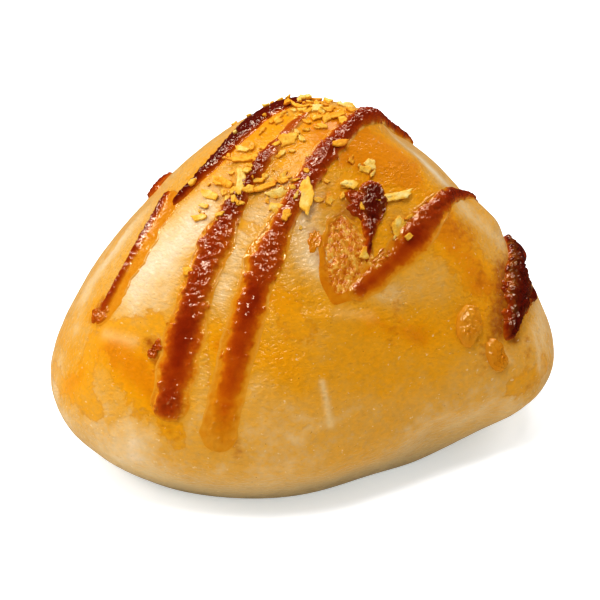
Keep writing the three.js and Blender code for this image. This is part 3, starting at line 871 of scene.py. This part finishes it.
def pool_rows(pool, seed):
    """Points and looks of one pool, drop or lump of sauce, in rings, with its two tips."""
    centre = photo_spots([pool["pixel"]])[0]
    normal = crust_normals(centre[None])[0]
    level = unit(np.cross(np.array([0, 0, 1.0]), normal))
    slope = np.cross(normal, level)
    turn = radians(pool["turn"])
    across = level * math.cos(turn) + slope * math.sin(turn)
    along = slope * math.cos(turn) - level * math.sin(turn)
    angles = np.arange(POOL_SIDES) / POOL_SIDES * 2 * math.pi
    shares = np.sin(np.arange(1, POOL_RINGS + 1) / POOL_RINGS * math.pi / 2)
    ring = np.stack([np.cos(angles), np.sin(angles), 0 * angles], -1)
    reach = shares[:, None] * (1 + pool["ragged"] * noise_sum(ring, POOL_WAVES, seed))
    flat = centre + (reach * np.cos(angles) * pool["across"])[..., None] * across
    flat = flat + (reach * np.sin(angles) * pool["along"])[..., None] * along
    core = np.array([0, 0, CORE_HEIGHT])
    surface = crust_points(core, unit(flat - core))
    outward = crust_normals(surface)
    dome = (np.maximum(0, 1 - shares ** (2 + 2 * pool["flat"])) ** POOL_ROUNDNESS)[:, None]
    edge = ((1 - shares) * min(pool["across"], pool["along"]))[:, None]
    rim = RIM_RISE * bell(edge, POOL_RIM["at"], POOL_RIM["width"]) * (1 - pool["froth"])
    border = np.clip(to_lower_left(angles, *POOL_BORDER), 0, POOL_BORDER_MOST)
    inner = FROTH_FADE["to"] * border + FROTH_FADE["past"]
    inside = edge + noise_sum(surface, FROTH_WAVES, seed)
    froth = pool["froth"] * smooth_step(FROTH_FADE["from"] * border, inner, inside)
    crease = (pool["crumple"] * dome + FROTH_CREASE * froth) * crumpled(surface, seed + 2)
    height = np.maximum(pool["rise"] * dome + rim * (dome > 0) + crease, 0.0)
    relief = crust_relief(surface)
    top = surface + outward * (relief + height)[..., None]
    sunk = surface[-1:] + outward[-1:] * (relief[-1:] - SUNK)[..., None]
    settled = to_lower_left(angles, *POOL_SETTLED)
    deep = np.clip(np.maximum(height / pool["rise"], settled), 0, POOL_DEEPEST)
    thick = pool["dark"] * deep * (1 + noise_sum(surface, POOL_DEPTH_WAVES, seed))
    gain, late = POOL_BURNT
    burn = np.clip(gain * pool["dark"] - late, 0, 1) * np.sqrt(np.minimum(deep, 1))
    looks = {"thick": thick, "burn": burn, "painted_glint": 0 * thick, "froth": froth}
    base = centre + normal * crust_relief(centre[None])[0]
    tips = np.stack([top[0].mean(axis=0), base - normal * TIP_DEPTH])
    return np.concatenate([top, sunk]), looks, tips


def make_sauce(material):
    """The beads of all passes with their films."""
    parts = Parts()
    for number, (sauce_pass, look) in enumerate(zip(PASSES, LOOKS)):
        bead = Bead(sauce_pass, look, SAUCE_SEED + SEED_STEP * number)
        rows = bead.rows()
        parts.add_rings(rows, rows[[0, -1]].mean(axis=1), bead.looks(), (0, 0), False)
    piece = parts.make("sauce", material)
    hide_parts("bun")


def make_drops(material):
    """Pools, drops and lumps beside the beads."""
    parts = Parts()
    for number, pool in enumerate(POOLS):
        rows, looks, tips = pool_rows(pool, POOL_SEED + SEED_STEP * number)
        parts.add_rings(rows, tips, looks, (POOL_TIP_SHADE * pool["dark"], 0), True)
    parts.make("drops", material)


# Flakes


class Draws:
    """Seeded random draws between 0 and 1, the same as the part's source makes."""

    def __init__(self, seed):
        self.state = seed

    def draw(self):
        self.state = (self.state * DRAW_FACTOR + DRAW_STEP) % DRAW_RANGE
        return self.state / DRAW_RANGE


def strewn_flakes(draws, heaps, small):
    """Small flakes of all heaps, strewn round their middles."""
    flakes = []
    for x, y, spread, count in heaps:
        for _ in range(count):
            away = spread * math.sqrt(-math.log(1 - draws.draw()))
            towards = draws.draw() * 2 * math.pi
            long = small["shortest"] + (small["longest"] - small["shortest"]) * draws.draw()
            narrow = small["narrowest"] + (small["widest"] - small["narrowest"]) * draws.draw()
            turn = draws.draw() * 360
            spot = (x + away * math.cos(towards), y + away * math.sin(towards))
            flakes.append((*spot, long, long * narrow, turn))
    return flakes


def sauce_rise(point, middles, halves, rises):
    """How high the sauce stands over a spot of the crust."""
    away = np.minimum(1, np.linalg.norm(middles - point, axis=1) / halves)
    return (rises * np.sqrt(1 - away * away)).max()


def flake_corners(draws):
    """The drawn corners of a flake: direction, reach, and how far it goes down and up there."""
    corners = []
    for corner in range(FLAKE_CORNERS):
        around = (corner + CORNER_DRIFT * draws.draw()) / FLAKE_CORNERS * 2 * math.pi
        reach = CORNER_REACH[0] + CORNER_REACH[1] * draws.draw()
        low = CORNER_HEIGHT[0] + CORNER_HEIGHT[1] * draws.draw()
        high = CORNER_HEIGHT[0] + CORNER_HEIGHT[1] * draws.draw()
        corners.append((around, reach, low * FLAKE_THICKNESS, high * FLAKE_THICKNESS))
    return np.array(corners).T


def flake_outline(corners, reach, looks):
    """Ragged straight-edged outline of a flake through its corners, at reach one."""
    tips = np.stack([np.cos(corners), np.sin(corners)], -1) * reach[:, None]
    steps = np.arange(EDGE_STEPS)[:, None] / EDGE_STEPS
    edges = [tip + (after - tip) * steps for tip, after in zip(tips, np.roll(tips, -1, axis=0))]
    outline = np.concatenate(edges)
    count = len(outline)
    bends = looks.uniform(*FLAKE_BEND, FLAKE_BENDS)
    around = np.arange(count) / count * FLAKE_BENDS
    bent = np.interp(around, np.arange(FLAKE_BENDS + 1), np.append(bends, bends[0]))
    return outline * (bent + looks.uniform(*EDGE_JITTER, count))[:, None]


def flake_rings(flake, draws, lines, looks):
    """Rings of one flake: a flat ragged shard that lies on crust or sauce."""
    x, y, long, wide, turn = flake
    spot = crust_points(np.array([[x, y, CORE_HEIGHT]]), np.array([[0, 0, 1.0]]))
    normal = crust_normals(spot)[0]
    lift = FLAKE_LIFT + sauce_rise(spot[0], *lines) + crust_relief(spot)[0]
    heading = np.array([math.cos(radians(turn)), math.sin(radians(turn)), 0])
    side = unit(np.cross(normal, heading))
    ahead = np.cross(side, normal)
    corners, reach, low, high = flake_corners(draws)
    outline = flake_outline(corners, reach, looks)
    thin = FLAKE_THINNESS * min(1, NARROW_THINNESS + wide / FULL_WIDTH)
    tilt = looks.uniform(*FLAKE_TILT)
    curl = looks.uniform(*FLAKE_CURL) * long
    rings = []
    for share, level in FLAKE_RINGS:
        forth = share * outline[:, 0] * long / 2 * FLAKE_SPREAD
        aside = share * outline[:, 1] * wide / 2 * FLAKE_SPREAD
        height = high.mean() * thin if level > 0 else low.mean()
        rise = level * height + curl * (2 * forth / long) ** 2 + tilt * aside
        rise = rise + looks.uniform(*FLAKE_ROUGHNESS, len(outline)) * thin
        rings.append(np.stack([forth, aside, rise], -1))
    local = np.stack(rings) @ np.stack([ahead, side, normal])
    placed = spot[0] + normal * lift + local
    return placed, placed[[0, -1]].mean(axis=1)


def make_flakes(name, placed, heaps, small, seed, material):
    """Flakes placed one by one and strewn round heaps: painted shade below and at the browned edge,
    painted light on top.
    """
    draws = Draws(seed)
    flakes = placed + strewn_flakes(draws, heaps, small)
    lines = sauce_lines()
    looks = np.random.default_rng(FLAKE_SEEDS[name])
    parts = Parts()
    for flake in flakes:
        rings, tips = flake_rings(flake, draws, lines, looks)
        # each flake's own tone, with painted shade on its underside and edge and painted light on its
        # top
        tone_and_painted_light = looks.uniform(*FLAKE_TONE) + np.array(FLAKE_PAINTED_SHADING)
        tones = np.repeat(tone_and_painted_light[:, None], rings.shape[1], axis=1)
        parts.add_rings(rings, tips, {"tone": tones}, (tone_and_painted_light[0], tone_and_painted_light[-1] + TIP_SHADE), True)
    return parts.make(name, material)


# Materials


def paint(red, green, blue):
    """A colour as seen on screen, 0 to 255, as the shader's linear colour."""
    shown = [red / 255, green / 255, blue / 255]
    linear = [c / 12.92 if c <= 0.04045 else ((c + 0.055) / 1.055) ** 2.4 for c in shown]
    return (*[COLOUR_SHARE * c for c in linear], 1.0)


class Nodes:
    """A node material with short ways to add nodes."""

    def __init__(self, name):
        self.material = bpy.data.materials.new(name)
        self.material.use_nodes = True
        self.tree = self.material.node_tree

    def feed(self, node, values):
        """Give a node's sockets their plain values, or join them to other nodes."""
        for name, value in values.items():
            if isinstance(value, (int, float, tuple)):
                node.inputs[name].default_value = value
            else:
                self.tree.links.new(value, node.inputs[name])

    def add(self, kind, values, **settings):
        """A new node."""
        node = self.tree.nodes.new("ShaderNode" + kind)
        for name, setting in settings.items():
            setattr(node, name, setting)
        self.feed(node, values)
        return node

    def finish(self, values):
        """The material, with what its shader's sockets get."""
        self.feed(self.tree.nodes["Principled BSDF"], values)
        return self.material

    def attribute(self, name, output="Fac"):
        return self.add("Attribute", {}, attribute_name=name).outputs[output]

    def noise(self, scale, detail=3.0, vector=None, roughness=0.55, kind="FBM"):
        if vector is None:
            vector = self.add("TexCoord", {}).outputs["Object"]
        values = {"Vector": vector, "Scale": scale, "Detail": detail, "Roughness": roughness}
        return self.add("TexNoise", values, noise_type=kind).outputs["Fac"]

    def math(self, operation, first, second):
        return self.add("Math", {0: first, 1: second}, operation=operation).outputs["Value"]

    def spread(self, value, low, high, to_low, to_high):
        """A value from one range taken to another."""
        values = {"Value": value, "From Min": low, "From Max": high, "To Min": to_low, "To Max": to_high}
        return self.add("MapRange", values).outputs["Result"]

    def ragged(self, value, noise, change):
        """A value that noise changes by up to so much either way."""
        return self.math("ADD", value, self.spread(noise, 0.25, 0.75, -change, change))

    def ramp(self, value, stops):
        """A colour between stops, which are given as seen on screen."""
        node = self.add("ValToRGB", {"Fac": value})
        elements = node.color_ramp.elements
        while len(elements) < len(stops):
            elements.new(0.5)
        for element, (place, colour) in zip(elements, stops):
            element.position = place
            element.color = paint(*colour)
        return node.outputs["Color"]

    def mix(self, share, first, second, blend="MIX"):
        """A mix of two colours. The node's sockets for colours have no names of their own."""
        values = {"Factor": share, MIX_FIRST: first, MIX_SECOND: second}
        return self.add("Mix", values, data_type="RGBA", blend_type=blend).outputs[MIX_RESULT]

    def bump(self, height, strength, distance, below=None):
        values = {"Height": height, "Strength": strength, "Distance": distance * METRES}
        if below is not None:
            values["Normal"] = below
        return self.add("Bump", values).outputs["Normal"]


def crust_material():
    """Baked crust: cream to amber and finely mottled, with ragged films of clear amber glaze.

    Its grain has painted shade in its hollows, its outline painted sheen in places, and some of its
    marks are painted highlights and painted shade.
    """
    nodes = Nodes("crust")
    grain = nodes.attribute("grain", "Vector")
    stretched = nodes.add("Mapping", {"Vector": grain, "Scale": GRAIN_STRETCH}).outputs["Vector"]
    streaks = nodes.noise(0.8, 2, stretched, 0.5)
    fibres = nodes.noise(1.5, 2, stretched, 0.5)
    mottle = nodes.noise(0.5, 5, grain)
    clouds = nodes.noise(0.22, 4, grain)
    tone = nodes.attribute("bake_and_sheen")
    for waves, change in ((clouds, 0.12), (mottle, 0.12), (streaks, 0.1), (fibres, 0.08)):
        tone = nodes.math("ADD", tone, nodes.spread(waves, 0.2, 0.8, -change / 2, change / 2))
    film = nodes.spread(nodes.ragged(nodes.attribute("film"), mottle, 0.35), 0.38, 0.62, 0, 1)
    fading = nodes.math("MULTIPLY", film, nodes.math("SUBTRACT", 1.0, film))
    tone = nodes.math("ADD", tone, nodes.math("MULTIPLY", film, 0.16))
    # stains, and painted shade where two of the marks lie
    stained_and_shaded = nodes.ragged(nodes.attribute("stain_and_shade"), streaks, 0.3)
    layers = (
        (nodes.math("MULTIPLY", nodes.attribute("rim"), 0.8), FOOT_COLOUR),
        (fading, FILM_EDGE_COLOUR),
        (nodes.spread(stained_and_shaded, 0.2, 0.9, 0, 0.8), STAIN_AND_SHADE_COLOUR),
        (nodes.spread(nodes.noise(1.1, 3, stretched), 0.66, 0.74, 0, 0.5), FLECK_COLOUR),
        (nodes.spread(nodes.noise(2.2, 1, grain), 0.77, 0.8, 0, 0.7), PINHOLE_COLOUR),
        # bare scratches and painted highlights
        (nodes.attribute("bare"), SCRATCH_AND_HIGHLIGHT_COLOUR),
    )
    colour = nodes.ramp(tone, BAKED_COLOURS)
    for share, shade in layers:
        colour = nodes.mix(share, colour, paint(*shade))
    # painted shade and light of the grain: the streaks and fibres that the bumps below raise are painted
    # paler on their ridges and darker in their hollows
    for waves, change in ((streaks, 0.05), (fibres, 0.06)):
        uneven = nodes.spread(waves, 0.3, 0.7, 1 - change, 1 + change)
        colour = nodes.mix(1.0, colour, uneven, "MULTIPLY")
    dry = nodes.spread(film, 0, 1, 1.0, 0.45)
    swollen = nodes.bump(film, 0.7, 0.25)
    coarse = nodes.bump(nodes.math("MULTIPLY", streaks, dry), 0.8, 0.5, swollen)
    fine = nodes.bump(nodes.math("MULTIPLY", fibres, dry), 0.8, 0.25, coarse)
    return nodes.finish({"Base Color": colour, "Normal": fine, "Coat Normal": fine, **CRUST_GLAZE})


def sauce_material():
    """Baked sauce: clear amber where thin, red-brown where thick, nearly black where burnt.

    The rims of its film and the wrinkles at a bead's front end get painted highlights.
    """
    nodes = Nodes("sauce")
    grit = nodes.noise(1800)
    blotch = nodes.noise(600)
    depth = nodes.math("MULTIPLY", nodes.ragged(nodes.attribute("thick"), blotch, 0.06), 0.6)
    burn = nodes.attribute("burn")
    clear = nodes.ramp(depth, CLEAR_COLOURS)
    cooked = nodes.mix(burn, clear, nodes.ramp(depth, BURNT_COLOURS))
    froth = nodes.attribute("froth")
    bubbles = nodes.noise(1100, 4)
    frothy = nodes.mix(froth, cooked, nodes.ramp(bubbles, FOAM_COLOURS))
    # painted highlights along the film's rim and on wrinkles
    painted_glint = nodes.math("MULTIPLY", nodes.attribute("painted_glint"), 0.4)
    colour = nodes.mix(painted_glint, frothy, paint(*PAINTED_GLINT_COLOUR))
    wavy = nodes.bump(blotch, 0.8, 0.3)
    foamy = nodes.bump(nodes.math("MULTIPLY", bubbles, froth), 1.0, 0.5, wavy)
    wrinkles = nodes.noise(1100, 2, kind="RIDGED_MULTIFRACTAL")
    wrinkled = nodes.bump(nodes.math("MULTIPLY", wrinkles, burn), 0.9, 0.28, foamy)
    gritty = nodes.bump(grit, 0.4, 0.1, wrinkled)
    return nodes.finish({"Base Color": colour, "Normal": gritty, **SAUCE_GLOSS})


def flake_material():
    """Dry crisp flakes: golden, with paler and browner spots."""
    nodes = Nodes("flakes")
    spots = nodes.noise(600, 4)
    # the tone holds each flake's own tone together with its painted light and shade
    colour = nodes.ramp(nodes.ragged(nodes.attribute("tone"), spots, 0.4), FLAKE_COLOURS)
    rough = nodes.bump(spots, 0.8, 0.4)
    gritty = nodes.bump(nodes.noise(1800), 0.8, 0.22, rough)
    return nodes.finish({"Base Color": colour, "Normal": gritty, **FLAKE_GLOSS})


# Stage


def make_floor():
    """Plain white floor."""
    half = FLOOR_HALF
    corners = [(-half, -half, 0), (half, -half, 0), (half, half, 0), (-half, half, 0)]
    mesh = bpy.data.meshes.new("floor")
    mesh.from_pydata(corners, [], [(0, 1, 2, 3)])
    mesh.materials.append(Nodes("floor").finish(FLOOR_LOOK))
    floor = bpy.data.objects.new("floor", mesh)
    bpy.context.collection.objects.link(floor)
    floor.visible_glossy = False


def make_light(name, place, size, power, gloss):
    """A square soft light that looks at the bun."""
    lamp = bpy.data.lights.new(name, "AREA")
    lamp.size = size
    lamp.energy = power
    light = bpy.data.objects.new(name, lamp)
    light.location = place
    aim = light.location - cad_low.lerp(cad_high, 0.5)
    light.rotation_euler = aim.to_track_quat("Z", "Y").to_euler()
    light.visible_glossy = gloss
    bpy.context.collection.objects.link(light)


def make_world():
    world = bpy.data.worlds.new("studio")
    world.use_nodes = True
    background = world.node_tree.nodes["Background"].inputs
    background["Color"].default_value = (1, 1, 1, 1)
    background["Strength"].default_value = WORLD_STRENGTH
    bpy.context.scene.world = world


def make_camera():
    lens = bpy.data.cameras.new("camera")
    lens.sensor_width = SENSOR
    lens.lens = LENS
    camera = bpy.data.objects.new("camera", lens)
    tilt = radians(CAMERA_TILT)
    back = np.array([0, -math.cos(tilt), math.sin(tilt)])
    camera.location = (CAMERA_TARGET + CAMERA_DISTANCE * back) * METRES
    camera.rotation_euler = (math.pi / 2 - tilt, 0, 0)
    bpy.context.collection.objects.link(camera)
    bpy.context.scene.camera = camera


make_crust(crust_material())
sauce = sauce_material()
make_sauce(sauce)
make_drops(sauce)
flakes = flake_material()
piece = make_flakes("flakes", LARGE_FLAKES, HEAPS, SMALL_FLAKE, SEED, flakes)
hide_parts("bun")
make_flakes("crumbs", [], CRUMB_HEAPS, CRUMB, SEED + 1, flakes)
make_floor()
make_world()
for lamp in LIGHTS:
    make_light(*lamp)
make_camera()
bpy.context.scene.view_settings.view_transform = "Standard"
bpy.context.scene.view_settings.look = "Medium High Contrast"
